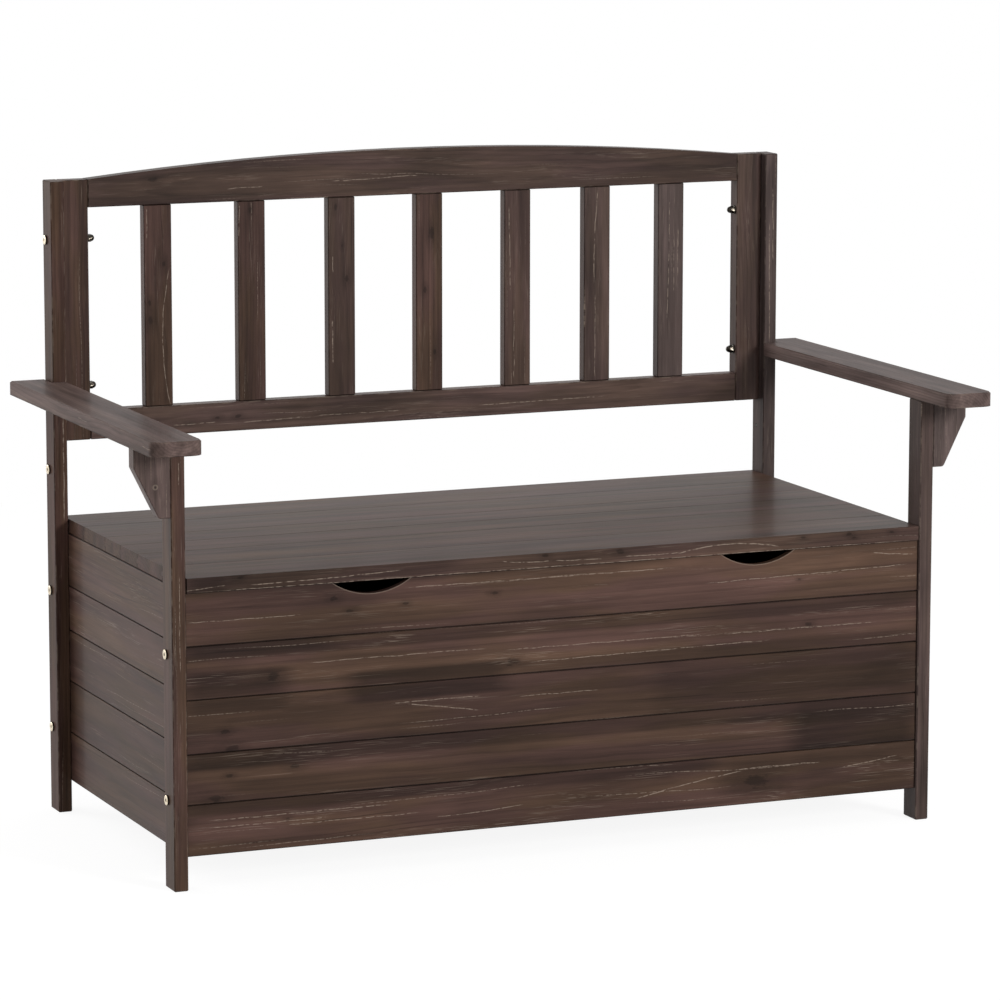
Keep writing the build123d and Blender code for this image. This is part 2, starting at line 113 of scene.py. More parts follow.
def object_place(tree):
    """The shaded point in the object's own axes, in metres."""
    return step(tree, "ShaderNodeTexCoord", out=3)


def smooth(tree, value, low, high, to_low=0.0, to_high=1.0):
    """An S-shaped change from to_low to to_high as value goes from low to high."""
    made = tree.nodes.new("ShaderNodeMapRange")
    made.interpolation_type = "SMOOTHSTEP"
    limits = {"From Min": low, "From Max": high, "To Min": to_low, "To Max": to_high}
    fill_named(tree, made, {"Value": value, **limits})
    return made.outputs[0]


def fade(tree, value, low, high):
    """An S-shaped fall from 1 to 0 as value goes from low to high."""
    return smooth(tree, value, low, high, 1.0, 0.0)


def blend(tree, share, first, second):
    """Mixes two colours."""
    made = tree.nodes.new("ShaderNodeMix")
    made.data_type = "RGBA"
    for place, value in ((0, share), (6, first), (7, second)):
        fill(tree, made.inputs[place], value)
    return made.outputs[2]


def noise(tree, place, stretch, detail=2.0, roughness=0.5):
    """Noise in 0 to 1 whose blobs are 1 / stretch metres long on each axis."""
    scaled = vector_calc(tree, "MULTIPLY", place, stretch)
    made = tree.nodes.new("ShaderNodeTexNoise")
    values = {"Vector": scaled, "Scale": 1.0, "Detail": detail, "Roughness": roughness}
    fill_named(tree, made, values)
    return made.outputs[0]


def new_group(name, inputs, outputs):
    """A shader node group with the given sockets: its tree, and both ends' sockets by name."""
    tree = bpy.data.node_groups.new(name, "ShaderNodeTree")
    for label, kind in inputs:
        tree.interface.new_socket(label, in_out="INPUT", socket_type="NodeSocket" + kind)
    for label, kind in outputs:
        tree.interface.new_socket(label, in_out="OUTPUT", socket_type="NodeSocket" + kind)
    entry = tree.nodes.new("NodeGroupInput")
    leave = tree.nodes.new("NodeGroupOutput")
    return tree, {label: entry.outputs[label] for label, kind in inputs}, leave.inputs


def use_group(tree, group, **values):
    """Places a group in a tree, fills its inputs by name and returns its outputs."""
    made = tree.nodes.new("ShaderNodeGroup")
    made.node_tree = group
    fill_named(tree, made, values)
    return made.outputs


print("shader helpers ready")

# %% [markdown]
# ## Stained softwood
#
# Pine shows growth rings where the saw cuts the trunk, and a dark stain soaks into it unevenly. A
# picture of wood could be wrapped round each board, but it would repeat from board to board, so the
# wood is a formula of the place in the board. A flat face cut through slightly bent rings shows straight
# lines near its edges and arches in the middle: the figure is the distance from a wandering pith below
# the board. The stain leaves wine-brown patches, and a wire brush lifts it from the hard fibres as
# fine pale streaks.

# %% Wood group
OLIVE = (0.0695, 0.0395, 0.0262, 1)
WINE = (0.0705, 0.0382, 0.0308, 1)
# The grey stain below is a painted sheen: mixed in on some pieces, it stands in for the lamp's soft
# reflection
SHEEN_ASH = (0.0690, 0.0500, 0.0460, 1)
# Bare wood's colour; on the edges it is partly a painted highlight
BARE_AND_HIGHLIGHT = (0.370, 0.292, 0.232, 1)
RINGS_PER_METRE = 190.0
# Lanes of lines lean into the board; a step through the noise gives each lane lines of its own
LANE_LEAN, LANE_STEP = 0.8, 7.31


def lines_along(tree, place, spacing, width, long_part, dots, seed):
    """Thin lines along the grain: one per lane across it, at a random place, in parts of its length.

    The lane number is floor((across + LANE_LEAN * through) / spacing), so lines show on every face."""
    along, across, through = split(tree, place)
    lane = calc(tree, "MULTIPLY_ADD", through, LANE_LEAN, across)
    lane = calc(tree, "ADD", calc(tree, "DIVIDE", lane, spacing), seed)
    number = calc(tree, "FLOOR", lane)
    chance = step(tree, "ShaderNodeTexWhiteNoise", None, number, noise_dimensions="1D")
    spot = calc(tree, "MULTIPLY_ADD", chance, 0.6, 0.2)
    off = calc(tree, "ABSOLUTE", calc(tree, "SUBTRACT", calc(tree, "FRACT", lane), spot))
    off = calc(tree, "MULTIPLY", off, spacing)
    line = fade(tree, off, 0.4 * width, width)
    own = join(tree, along, calc(tree, "MULTIPLY", number, LANE_STEP), seed)
    here = smooth(tree, noise(tree, own, (long_part, 1.0, 1.0), 1.0), 0.56, 0.68)
    broken = smooth(tree, noise(tree, own, (dots, 1.0, 1.0), 2.0), 0.30, 0.66)
    return calc(tree, "MULTIPLY", calc(tree, "MULTIPLY", line, here), broken)


def make_wood():
    """Colour, roughness and relief of stained pine at a point (along, across, through) in metres."""
    tree, put, out = new_group(
        "stained_wood",
        [("Place", "Vector"), ("Pith", "Vector"), ("Tone", "Float"), ("Grey", "Float"), ("Figure", "Float"),
         ("Wear", "Float"), ("Streaks", "Float"), ("Threads", "Float"), ("Pale", "Float")],
        [("Colour", "Color"), ("Roughness", "Float"), ("Relief", "Float")],
    )
    place = put["Place"]
    sway = calc(tree, "SUBTRACT", noise(tree, place, (1.5, 7.0, 7.0), 2.0), 0.5)
    wobble = calc(tree, "SUBTRACT", noise(tree, place, (8.0, 40.0, 40.0), 2.0), 0.5)
    shift = calc(tree, "MULTIPLY_ADD", wobble, 0.004, calc(tree, "MULTIPLY", sway, 0.022))
    bent = vector_calc(tree, "ADD", place, join(tree, 0.0, shift, shift))
    # Growth rings: the distance from the pith, cut into years
    away = vector_calc(tree, "SUBTRACT", bent, put["Pith"])
    away = vector_calc(tree, "MULTIPLY", away, (0.03, 1.0, 1.0))
    ring = calc(tree, "FRACT", calc(tree, "MULTIPLY", length(tree, away), RINGS_PER_METRE))
    late = calc(tree, "MULTIPLY", smooth(tree, ring, 0.45, 0.9), fade(tree, ring, 0.9, 1.0))
    # How deep the stain went, from fine fibres to patches as long as an arm
    fibre = noise(tree, bent, (7.0, 1100.0, 1100.0), 2.0, 0.6)
    streak = noise(tree, bent, (3.2, 150.0, 150.0), 3.0, 0.55)
    cloud = noise(tree, place, (3.4, 26.0, 26.0), 3.0, 0.6)
    strip = smooth(tree, noise(tree, place, (0.7, 48.0, 48.0), 1.0), 0.44, 0.56)
    dark_line = lines_along(
        tree, bent, spacing=0.013, width=0.0011, long_part=2.0, dots=12.0, seed=3.7)
    depth = 1.0
    for value, middle, swing in (
        (streak, 0.5, 0.55), (fibre, 0.5, 0.60), (late, 0.25, -0.18), (cloud, 0.5, 1.70), (strip, 0.5, 0.16),
        (dark_line, 0.0, -0.40),
    ):
        change = calc(tree, "MULTIPLY_ADD", calc(tree, "SUBTRACT", value, middle), swing, 1.0)
        depth = calc(tree, "MULTIPLY", depth, calc(tree, "MAXIMUM", change, 0.3))
    level = calc(tree, "MULTIPLY", put["Tone"], calc(tree, "POWER", depth, put["Figure"]))
    hue = smooth(tree, noise(tree, place, (4.0, 26.0, 26.0), 2.0), 0.40, 0.60)
    # On some pieces the stain goes to grey: a painted sheen, not the wood's own colour
    stain = blend(tree, put["Grey"], blend(tree, hue, OLIVE, WINE), SHEEN_ASH)
    stain = step(tree, "ShaderNodeVectorMath", stain, None, None, level, operation="SCALE")
    # Bare wood: brushed fibres, pale threads along the grain, rubbed edges and marks from outside.
    # The pale edges are partly a painted highlight, standing in for the light that rounded edges catch.
    hair = noise(tree, bent, (16.0, 1300.0, 1300.0), 1.0, 0.5)
    field = noise(tree, place, (6.0, 60.0, 60.0), 2.0, 0.5)
    lines = calc(tree, "MULTIPLY", smooth(tree, hair, 0.58, 0.70), smooth(tree, field, 0.50, 0.70))
    lines = calc(tree, "MULTIPLY", lines, put["Streaks"])
    thread = lines_along(
        tree, bent, spacing=0.011, width=0.0006, long_part=3.4, dots=230.0, seed=0.0)
    wear_and_highlight_noise = noise(tree, place, (35.0, 35.0, 35.0), 3.0, 0.6)
    bare = put["Pale"]
    for mask in (
        calc(tree, "MULTIPLY", lines, 0.45),
        calc(tree, "MULTIPLY", thread, put["Threads"]),
        calc(tree, "MULTIPLY", put["Wear"], smooth(tree, wear_and_highlight_noise, 0.44, 0.66)),
    ):
        bare = calc(tree, "MAXIMUM", bare, mask)
    tree.links.new(blend(tree, bare, stain, BARE_AND_HIGHLIGHT), out["Colour"])
    rough = calc(tree, "MULTIPLY_ADD", streak, 0.12, 0.38)
    tree.links.new(calc(tree, "MULTIPLY_ADD", bare, 0.20, rough), out["Roughness"])
    relief = calc(tree, "MULTIPLY_ADD", fibre, 0.5, calc(tree, "MULTIPLY", streak, 0.5))
    tree.links.new(calc(tree, "MULTIPLY_ADD", late, -0.2, relief), out["Relief"])
    return tree


WOOD = make_wood()
print("wood group nodes", len(WOOD.nodes))

# %% [markdown]
# ## Marks with a place of their own
#
# Noise alone puts no mark where the photograph shows one. Marks could be painted on by hand, with a
# picture for each board. Four small groups draw them from a few sizes instead. A soft patch darkens or
# lightens a block of the board, as a strip of other timber in a glued board does. A knot is a ragged
# dark oval. A stroke is a thin bare line that follows a bend of the grain. A rim is a rubbed round edge.

# %% Patch, knot, stroke and rim groups
def make_patch():
    """1 inside the box from Low to High, falling to 0 over Soft metres on each side of its faces."""
    tree, put, out = new_group(
        "soft_patch",
        [("Place", "Vector"), ("Low", "Vector"), ("High", "Vector"), ("Soft", "Vector")],
        [("Mask", "Float")],
    )
    ragged = calc(tree, "SUBTRACT", noise(tree, put["Place"], (16.0, 90.0, 90.0), 3.0), 0.5)
    inside = 1.0
    for edge, way in (("Low", 1.0), ("High", -1.0)):
        gap = vector_calc(tree, "DIVIDE", vector_calc(tree, "SUBTRACT", put["Place"], put[edge]), put["Soft"])
        for part in split(tree, gap):
            reach = calc(tree, "MULTIPLY_ADD", part, way, ragged)
            inside = calc(tree, "MULTIPLY", inside, smooth(tree, reach, -1.0, 1.0))
    tree.links.new(inside, out["Mask"])
    return tree


def make_knot():
    """A dark, ragged oval at Centre with the given Radius, in a faint halo."""
    tree, put, out = new_group(
        "knot", [("Place", "Vector"), ("Centre", "Vector"), ("Radius", "Float")], [("Mask", "Float")]
    )
    away = vector_calc(tree, "SUBTRACT", put["Place"], put["Centre"])
    away = vector_calc(tree, "MULTIPLY", away, (0.5, 1.0, 1.0))
    ratio = calc(tree, "DIVIDE", length(tree, away), put["Radius"])
    ragged = calc(tree, "SUBTRACT", noise(tree, put["Place"], (90.0, 220.0, 220.0), 3.0, 0.65), 0.5)
    ratio = calc(tree, "MULTIPLY_ADD", ragged, 1.6, ratio)
    core = smooth(tree, ratio, 0.3, 1.0, 0.75, 0.0)
    halo = smooth(tree, ratio, 0.6, 2.4, 0.30, 0.0)
    tree.links.new(calc(tree, "MAXIMUM", core, halo), out["Mask"])
    return tree


def make_stroke():
    """The line across = Slope * along + Bend * along^2 through Start, as long as Reach to each side."""
    tree, put, out = new_group(
        "stroke",
        [("Place", "Vector"), ("Start", "Vector"), ("Reach", "Float"), ("Slope", "Float"), ("Bend", "Float"),
         ("Width", "Float")],
        [("Mask", "Float")],
    )
    along, across = split(tree, vector_calc(tree, "SUBTRACT", put["Place"], put["Start"]))[:2]
    curve = calc(tree, "ADD", put["Slope"], calc(tree, "MULTIPLY", put["Bend"], along))
    curve = calc(tree, "MULTIPLY", curve, along)
    tremble = calc(tree, "SUBTRACT", noise(tree, put["Place"], (45.0, 12.0, 12.0), 2.0), 0.5)
    tremble = calc(tree, "MULTIPLY", tremble, 0.003)
    off = calc(tree, "ABSOLUTE", calc(tree, "SUBTRACT", across, calc(tree, "ADD", curve, tremble)))
    line = fade(tree, calc(tree, "DIVIDE", off, put["Width"]), 0.4, 1.0)
    far = calc(tree, "DIVIDE", calc(tree, "ABSOLUTE", along), put["Reach"])
    ends = fade(tree, far, 0.85, 1.0)
    broken = smooth(tree, noise(tree, put["Place"], (180.0, 10.0, 10.0), 2.0), 0.28, 0.62)
    tree.links.new(calc(tree, "MULTIPLY", calc(tree, "MULTIPLY", line, ends), broken), out["Mask"])
    return tree


def make_rim():
    """1 on the edge where a round cut about Centre meets the face at Front, falling to 0 at Width from it."""
    tree, put, out = new_group(
        "cut_rim",
        [("Place", "Vector"), ("Centre", "Vector"), ("Radius", "Float"), ("Front", "Float"),
         ("Width", "Float")],
        [("Mask", "Float")],
    )
    away = vector_calc(tree, "SUBTRACT", put["Place"], put["Centre"])
    away = vector_calc(tree, "MULTIPLY", away, (1.0, 1.0, 0.0))
    off = calc(tree, "SUBTRACT", length(tree, away), put["Radius"])
    deep = calc(tree, "SUBTRACT", split(tree, put["Place"])[2], put["Front"])
    far = calc(tree, "DIVIDE", calc(tree, "ADD", calc(tree, "ABSOLUTE", off), deep), put["Width"])
    tree.links.new(fade(tree, far, 0.4, 1.0), out["Mask"])
    return tree


PATCH, KNOT, STROKE, RIM = make_patch(), make_knot(), make_stroke(), make_rim()
print("mark groups", [group.name for group in (PATCH, KNOT, STROKE, RIM)])

# %% [markdown]
# ## Worn edges and painted edge highlights
#
# Stain rubs off where hands and cloths pass, which is along the edges. They could be painted by hand;
# a formula serves every board alike. The pale edges are partly a painted highlight as well: they stand
# in for the light that the rounded edges catch. On the surface of a box the smallest distance to a face
# is nearly 0, so the middle one of the three distances tells how far the nearest edge is. The same mask,
# a little narrower, darkens the joints between boards.

# %% Edge group
def make_edge():
    """1 on the edges of the box from Low to High, falling to 0 at Width from them."""
    tree, put, out = new_group(
        "edge_band",
        [("Place", "Vector"), ("Low", "Vector"), ("High", "Vector"), ("Width", "Float")],
        [("Mask", "Float")],
    )
    under = vector_calc(tree, "SUBTRACT", put["Place"], put["Low"])
    over = vector_calc(tree, "SUBTRACT", put["High"], put["Place"])
    a, b, c = split(tree, vector_calc(tree, "MINIMUM", under, over))
    low, high = calc(tree, "MINIMUM", a, b), calc(tree, "MAXIMUM", a, b)
    middle = calc(tree, "MAXIMUM", low, calc(tree, "MINIMUM", high, c))
    tree.links.new(fade(tree, calc(tree, "DIVIDE", middle, put["Width"]), 0.3, 1.0), out["Mask"])
    return tree


EDGE = make_edge()
print("edge group", EDGE.name)

# %% [markdown]
# ## One finish per board
#
# With one finish for all, the boards would look cut from a single plank. Each gets its own pith, tone
# and shift through the same noise instead. The order of the axes follows the grain: along the board,
# across its face, and through it.

# %% Boards and their grain
GRAIN = {
    "front_board": "XZY", "back_board": "XZY", "left_side_board": "YZX", "right_side_board": "YZX",
    "lid_board": "XYZ", "lid_battens": "YXZ", "front_post": "ZXY", "rear_post": "ZXY", "armrest": "YXZ",
    "arm_bracket": "ZXY", "backrest_stile": "ZXY", "backrest_slat": "ZXY", "backrest_top_rail": "XZY",
    "backrest_bottom_rail": "XZY", "front_corner_battens": "ZXY", "rear_corner_battens": "ZXY",
    "hinge_rail": "XZY", "floor_boards": "XYZ", "floor_ledgers": "YXZ",
}
PANELS = ("front_board", "back_board", "left_side_board", "right_side_board")
WIDE = (*PANELS, "lid_board")
# The last board of each wall and of the lid has no tongue
LAST_BOARDS = ("front_board_5", "back_board_5", "left_side_board_5", "right_side_board_5", "lid_board_6")
# Metres of tongue or tenon that the next piece hides
TONGUE = {**dict.fromkeys(PANELS, 0.0031), "lid_board": 0.0053, "other": 0.0}
TENON = {"backrest_slat": 0.012, "other": 0.0}
# How bare the edges and the threads are (the pale edges partly a painted highlight), how strong the
# figure is and how dark the joints are
WEAR_AND_HIGHLIGHT = {**dict.fromkeys(PANELS, 0.04), "lid_board": 0.06, "backrest_slat": 0.06, "other": 0.26}
THREADS = {"lid_board": 0.25, "other": 0.50}
FIGURE = {**dict.fromkeys(PANELS, 0.90), "lid_board": 1.05, "other": 1.15}
DARK_EDGE = {**dict.fromkeys(PANELS, 0.80), "backrest_slat": 0.75, "lid_board": 0.15, "other": 0.60}
END_SEAM = ("backrest_slat", "backrest_top_rail", "backrest_bottom_rail")
# The varnish, the shine of the wood under it and the strength of its relief
COAT = {"lid_board": 0.066, "armrest": 0.042, "rear_post": 0.06, "front_post": 0.10, "other": 0.12}
SHINE = {"lid_board": 0.055, "armrest": 0.032, "rear_post": 0.04, "other": 0.06}
BUMP = {"lid_board": 0.45, "other": 0.25}
# How light a board is beside the rest, and how far its brown goes to grey. The brackets' raised tone
# is painted light, and the grey is a painted sheen.
TONE_AND_LIGHT = {
    "front_board_1": 1.04, "front_board_2": 0.90, "front_board_3": 0.96, "front_board_5": 1.17,
    "left_side_board_4": 1.34, "left_side_board_5": 1.28, "front_post_right": 1.13,
    "rear_post_left": 1.08, "rear_post_right": 1.12, "backrest_stile_left": 0.90,
    "backrest_top_rail": 0.89, "backrest_bottom_rail": 1.16, "backrest_slat_1": 0.91,
    "backrest_slat_2": 0.94, "backrest_slat_3": 0.90, "backrest_slat_5": 0.94, "backrest_slat_6": 1.02,
    "backrest_slat_7": 1.14, "arm_bracket_left": 1.54, "arm_bracket_right": 1.60, "armrest_left": 1.76,
    "armrest_right": 1.74,
}
# Painted sheen: grey mixed into these pieces' stain stands in for the lamp's soft reflection on them
GREY_SHEEN = {
    "front_post_right": 0.7, "rear_post_right": 1.0, "backrest_stile_right": 0.4, "backrest_top_rail": 0.3,
    "backrest_bottom_rail": 0.4, "backrest_slat_3": 0.3, "backrest_slat_5": 0.3, "backrest_slat_6": 0.5,
    "backrest_slat_7": 0.9, "arm_bracket_left": 0.8, "arm_bracket_right": 1.0, "armrest_left": 0.8,
    "armrest_right": 0.9, "lid_board_1": 0.25,
}


def family(name):
    """The longest entry of the grain table that starts the node's name."""
    return max((key for key in GRAIN if name.startswith(key)), key=len)


def of_kind(table, name):
    """The table's entry for a node's family, or the one for all others."""
    return table.get(family(name), table["other"])


def board_limits(name):
    """The low and high corners of a board's show faces, without tongue and tenons, in grain order."""
    order = ["XYZ".index(letter) for letter in GRAIN[family(name)]]
    low, high = (np.array(corner)[order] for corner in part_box(name))
    if name not in LAST_BOARDS:
        high[1] -= of_kind(TONGUE, name)
    low[0] += of_kind(TENON, name)
    high[0] -= of_kind(TENON, name)
    return low, high


wooden = sorted(name for name in nodes if any(name.startswith(key) for key in GRAIN))
print("wooden nodes", len(wooden))

# %% [markdown]
# ## What the photograph shows on the front
#
# The front boards are glued from strips of different timber. Random strips would suit any bench; these
# tables follow the one in the photograph. A patch is given by its extent along the seat and up the
# board in millimetres, and by how much darker (below 0) or lighter it is. A knot has its place and
# radius. A stroke has its place, reach, slope, bend and width, as a multiple of the usual one.

# %% Marks on the front boards
PATCHES = {
    "front_board_5": [
        (-495, 180, 300, 330, -0.05), (-495, -250, 300, 367, -0.11), (180, 495, 335, 367, 0.06),
        (385, 420, 340, 356, 0.14), (-200, 180, 300, 367, 0.07)],
    "front_board_4": [
        (-495, 495, 284, 302, -0.14), (-495, -300, 284, 302, -0.20), (-425, 495, 252, 283, 0.20),
        (-400, -50, 254, 282, 0.12), (-495, -368, 235, 268, -0.34), (-285, -80, 235, 254, -0.38),
        (-60, 495, 235, 249, -0.16), (300, 495, 235, 302, -0.05), (-60, 200, 249, 302, 0.07)],
    "front_board_3": [
        (-495, -360, 215, 235, -0.30), (-285, -75, 215, 235, -0.36), (130, 495, 168, 235, -0.18),
        (-75, 130, 205, 235, -0.06), (-495, -300, 168, 235, -0.07)],
    "front_board_2": [
        (-495, 315, 147, 168, -0.26), (-495, 315, 130, 147, 0.14), (-420, 495, 105, 130, -0.06),
        (318, 495, 105, 168, -0.37), (-470, -435, 115, 130, 0.18), (-495, -300, 105, 168, -0.05)],
    "front_board_1": [
        (-495, 205, 91, 106, -0.24), (-495, -145, 60, 90, 0.12), (215, 330, 55, 88, -0.20),
        (330, 385, 66, 82, -0.16), (330, 495, 42, 66, -0.06), (330, 495, 40, 106, -0.13),
        (-495, -145, 40, 106, 0.06)],
}
KNOTS = {
    "front_board_5": [(-92, 339, 3.5), (-210, 334, 3.0), (-282, 330, 4.0), (-304, 347, 4.5), (327, 327, 2.0)],
    "front_board_4": [(-382, 257, 8.0), (-67, 250, 8.0), (340, 268, 4.0)],
    "front_board_3": [(-445, 193, 4.5), (-437, 171, 7.0)],
    "front_board_2": [(-457, 111, 7.0), (-440, 138, 3.5), (-355, 142, 5.0)],
    "front_board_1": [(270, 70, 13.0), (-365, 78, 2.5)],
}
STROKES = {
    "front_board_5": [
        (-30, 353.5, 185, 0.0, 0.0, 1.1), (338, 333, 145, 0.02, 0.02, 1.0), (-420, 330, 75, 0.0, 0.0, 0.9),
        (460, 351, 30, -0.10, 0.5, 1.1)],
    "front_board_4": [
        (120, 250, 170, 0.01, 0.0, 1.0), (-220, 270, 120, 0.0, 0.0, 1.0), (60, 266, 140, 0.0, 0.0, 0.9),
        (330, 264, 110, 0.0, 0.0, 0.9)],
    "front_board_3": [
        (-160, 201, 48, -0.16, 0.0, 1.3), (-170, 211, 60, 0.0, 0.0, 1.1), (-5, 206, 55, 0.0, 0.0, 0.9)],
    "front_board_1": [
        (175, 75, 75, 0.16, -0.25, 1.3), (300, 88, 60, 0.0, -0.2, 1.0), (430, 82, 40, 0.12, 0.0, 1.1),
        (-350, 84, 120, 0.0, 0.0, 1.1), (-390, 75, 80, 0.0, 0.0, 1.0), (-280, 70, 90, 0.0, 0.0, 1.0),
        (-110, 64, 60, 0.05, 0.6, 1.0)],
}
print("front strips", sum(map(len, PATCHES.values())), "knots", sum(map(len, KNOTS.values())))

# %% [markdown]
# ## Marks on the other pieces
#
# The backrest, the posts, a bracket and the lid have the same kinds of mark, in grain order: along the
# grain first, then across it. The armrests' sides and the lid's front edge show a board's thickness, so
# the marks there are given along the grain and up, and a mask keeps them on that edge. The light patch
# on each armrest's side is painted light: it lightens that whole side.

# %% Other marks
PATCHES.update({
    "backrest_top_rail": [(-440, -180, 700, 850, -0.12)],
    "backrest_bottom_rail": [(100, 480, 450, 550, 0.09)],
})
KNOTS.update({
    "backrest_slat_1": [(658, -376.5, 3.5), (635, -376.5, 5.5), (708, -356, 4.0)],
    "backrest_slat_2": [(774, -238, 3.0)],
    "backrest_slat_3": [(772, -120, 4.0), (721, -111, 2.5), (678, -105, 4.0)],
    "backrest_slat_4": [(732, 15, 6.0), (657, 6, 3.5), (574, 19, 3.0)],
    "backrest_top_rail": [(-372, 817, 5.0)],
    "backrest_bottom_rail": [(-258, 504, 3.5), (-286, 504, 3.0), (-325, 498, 2.5)],
    "arm_bracket_left": [(498, -532, 4.0)],
    "lid_board_2": [(-380, -82, 4.0), (-420, -86, 3.0)],
    "lid_board_4": [(-190, 46, 4.0)],
})
STROKES.update({
    "backrest_slat_1": [(612, -359.5, 92, 0.0, 1.25, 1.2), (761, -379.5, 20, 0.03, 0.0, 0.9)],
    "backrest_slat_2": [(759, -253.5, 21, 0.04, 0.0, 1.1)],
    "backrest_slat_3": [(697, -124, 11, 0.0, 0.0, 1.0), (595, -124.6, 29, 0.0, 0.0, 1.8)],
    "backrest_slat_5": [(707, 127, 58, -0.02, 0.0, 1.1), (580, 133, 48, 0.0, 0.0, 0.9)],
    "backrest_slat_6": [(718, 250, 64, 0.04, 0.4, 1.3), (584, 251, 58, 0.0, 0.0, 1.0)],
    "backrest_slat_7": [
        (651, 358.6, 50, 0.03, 0.0, 1.0), (733, 359.8, 28, 0.0, 0.0, 0.9), (675, 366.9, 37, 0.0, 0.0, 0.9),
        (691, 372.7, 33, 0.0, 0.0, 0.9)],
    "backrest_top_rail": [(-65, 808, 63, 0.03, 0.0, 1.0), (-246, 802.5, 25, 0.04, 0.0, 1.0)],
    "backrest_bottom_rail": [
        (-318, 497.5, 30, 0.02, 0.0, 1.1), (-208, 497, 44, 0.03, 0.0, 1.2), (-90, 499, 60, 0.0, 0.0, 0.8),
        (174, 501, 95, 0.012, 0.0, 1.1)],
    "front_post_left": [(513, -502.7, 14, 0.0, 0.0, 1.0), (330, -503, 60, 0.0, 0.0, 0.9)],
    "rear_post_left": [(538, -498, 38, 0.077, 0.0, 1.0), (455, -500.3, 75, 0.0, 0.0, 1.6)],
    "rear_post_right": [(646, 502.2, 84, -0.011, 0.0, 1.2), (725, 506.7, 50, -0.011, 0.0, 1.1)],
})
EDGE_PATCHES = {
    # Painted light: each armrest's visible side is made lighter along its length
    "armrest_left": [(-400, 400, 500, 600, 0.09)],
    "armrest_right": [(-400, 400, 500, 600, 0.27)],
    "lid_board_1": [
        (-495, -436, 360, 390, -0.36), (-436, -150, 360, 390, -0.20), (90, 240, 378, 390, -0.15),
        (250, 420, 360, 390, -0.01)],
}
EDGE_KNOTS = {
    "armrest_left": [(-284, 554, 3.0)],
    "lid_board_1": [
        (77, 380, 4.5), (330, 381, 3.0), (394, 381, 3.0), (401, 376, 2.5), (455, 380, 3.0), (-25, 382, 3.5),
        (-425, 382, 4.0)],
}
EDGE_STROKES = {
    "armrest_left": [(-267, 554.7, 20, 0.03, 0.0, 1.2), (-18, 555.6, 18, 0.03, 0.0, 1.0)],
    "lid_board_1": [
        (-315, 373.5, 100, 0.022, 0.08, 1.2), (-470, 372, 26, 0.08, 0.0, 1.0),
        (-50, 375, 34, -0.05, 1.6, 1.0), (20, 373.5, 32, -0.03, 0.0, 1.0), (225, 379.6, 72, 0.0, -1.5, 1.5),
        (120, 373, 38, 0.0, 0.5, 1.0), (0, 367.4, 495, 0.0, 0.0, 1.0)],
}
print("boards with strokes", len(STROKES), "with knots", len(KNOTS))

# %% [markdown]
# ## Rubbed rims
#
# Fingers rub the edge of each scoop bare. The rim could follow a circle set by eye, but the scoop is a
# round cut, so the points of the CAD mesh on its edge give the true one: x^2 + z^2 = 2ax + 2bz + c is
# linear in a, b and c. The pale ring round the knot in the left bracket is drawn in the same way, from
# its place in the photograph.

# %% Scoop circles
# Place along the grain and across it, and radius, in metres
BRACKET_RING = (0.4987, -0.5322, 0.0026)


def mesh_points(name):
    """The points of a node's mesh, in metres."""
    points = np.empty(len(nodes[name].data.vertices) * 3)
    nodes[name].data.vertices.foreach_get("co", points)
    return points.reshape(-1, 3)


def scoop_circles(name, deepest=0.02, skip=0.002):
    """Centre and radius of the round cuts in a board's top edge, fitted to the cut's points."""
    low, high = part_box(name)
    points = mesh_points(name)
    depth = high[2] - points[:, 2]
    edge = points[(abs(points[:, 1] - low[1]) < 1e-5) & (depth > skip) & (depth < deepest)]
    circles = []
    for side in (-1, 1):
        x, z = edge[edge[:, 0] * side > 0][:, [0, 2]].T
        sums = np.stack([2 * x, 2 * z, np.ones_like(x)], 1)
        a, b, c = np.linalg.lstsq(sums, x**2 + z**2, rcond=None)[0]
        circles.append((float(a), float(b), float(math.sqrt(c + a**2 + b**2))))
    return circles


RIMS = {"front_board_5": scoop_circles("front_board_5"), "arm_bracket_left": [BRACKET_RING]}
print("scoop circles", [[round(value, 4) for value in circle] for circle in RIMS["front_board_5"]])

# %% [markdown]
# ## Building the wood materials
#
# Every board could have a material drawn up for it alone. The tables of marks are in grain order, so one
# function serves them all. The board's tone is multiplied by each patch and each knot before the wood
# group turns it into colour.

# %% Wood materials
MM = 1000.0
# Marks: how far a patch reaches through the board and fades, and how strong each kind is
PATCH_DEPTH, PATCH_SOFT, PATCH_GAIN = 10.0, (0.022, 0.0035, 1.0), 1.5
KNOT_DARK = 0.78
STROKE_WIDTH, STROKE_BARE = 0.0006, 0.62
RIM_WIDTH, RIM_BARE = 0.0014, 0.30
# Metres from an edge or an end over which a mask changes
EDGE_SKIN, THREAD_END, SEAM = (0.0006, 0.0016), (0.001, 0.004), (0.0003, 0.0016)
SEAM_TONE = 0.15
JOINT_WIDTH, WEAR_AND_HIGHLIGHT_WIDTH = 0.0013, 0.0020
NARROW_SCALE = 1.5
COAT_ROUGHNESS, COAT_IOR, BUMP_DEPTH = 0.14, 1.4, 0.0005


def new_material(name):
    """A material, its node tree and its Principled shader."""
    material = bpy.data.materials.new(name)
    material.use_nodes = True
    return material, material.node_tree, material.node_tree.nodes["Principled BSDF"]


def paint(name, material):
    """Gives a CAD node one material."""
    nodes[name].data.materials.clear()
    nodes[name].data.materials.append(material)


def tint(tree, tone, mask, share):
    """The tone, times 1 + share where the mask is 1."""
    return calc(tree, "MULTIPLY", tone, calc(tree, "MULTIPLY_ADD", mask, share, 1.0))


def rub(tree, bare, mask, share):
    """The greater of what is bare already and the mask's share."""
    return calc(tree, "MAXIMUM", bare, calc(tree, "MULTIPLY", mask, share))


